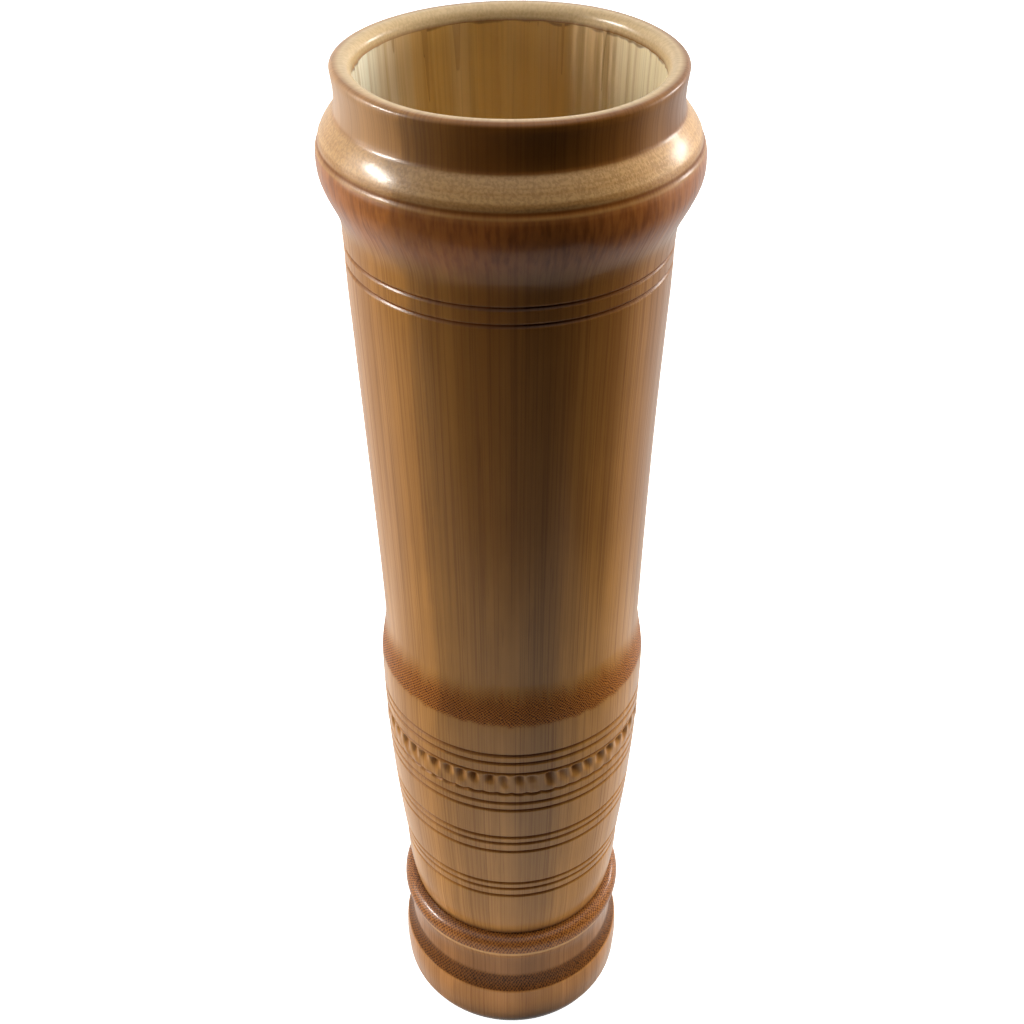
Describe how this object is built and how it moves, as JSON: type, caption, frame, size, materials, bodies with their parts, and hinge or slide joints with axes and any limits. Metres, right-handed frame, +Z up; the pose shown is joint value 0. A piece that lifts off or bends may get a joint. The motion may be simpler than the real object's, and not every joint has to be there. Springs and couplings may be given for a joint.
{
  "type": "dice cup",
  "caption": "Tall turned bamboo dice cup with a rounded lip, swelling collar, grooved barrel, separate foot ring and a disc that closes the bore.",
  "frame": {"origin": "middle of the foot ring's flat underside", "axes": "+Z up along the cup's own axis, towards the mouth; X and Y are any two square directions, as the cup is round"},
  "size_m": [0.07, 0.07, 0.24],
  "materials": {
    "lacquered_bamboo": "clear gloss lacquer over turned brown bamboo with fine vertical grain; the bore is bare straw-coloured bamboo",
    "lacquered_foot": "clear gloss lacquer over turned brown bamboo, speckled where the grain ends on a slope",
    "raw_bamboo": "bare, matt, straw-coloured bamboo"
  },
  "bodies": {
    "root": {"cup_body": "lacquered_bamboo", "foot_ring": "lacquered_foot", "floor_disc": "raw_bamboo"}
  },
  "joints": []
}
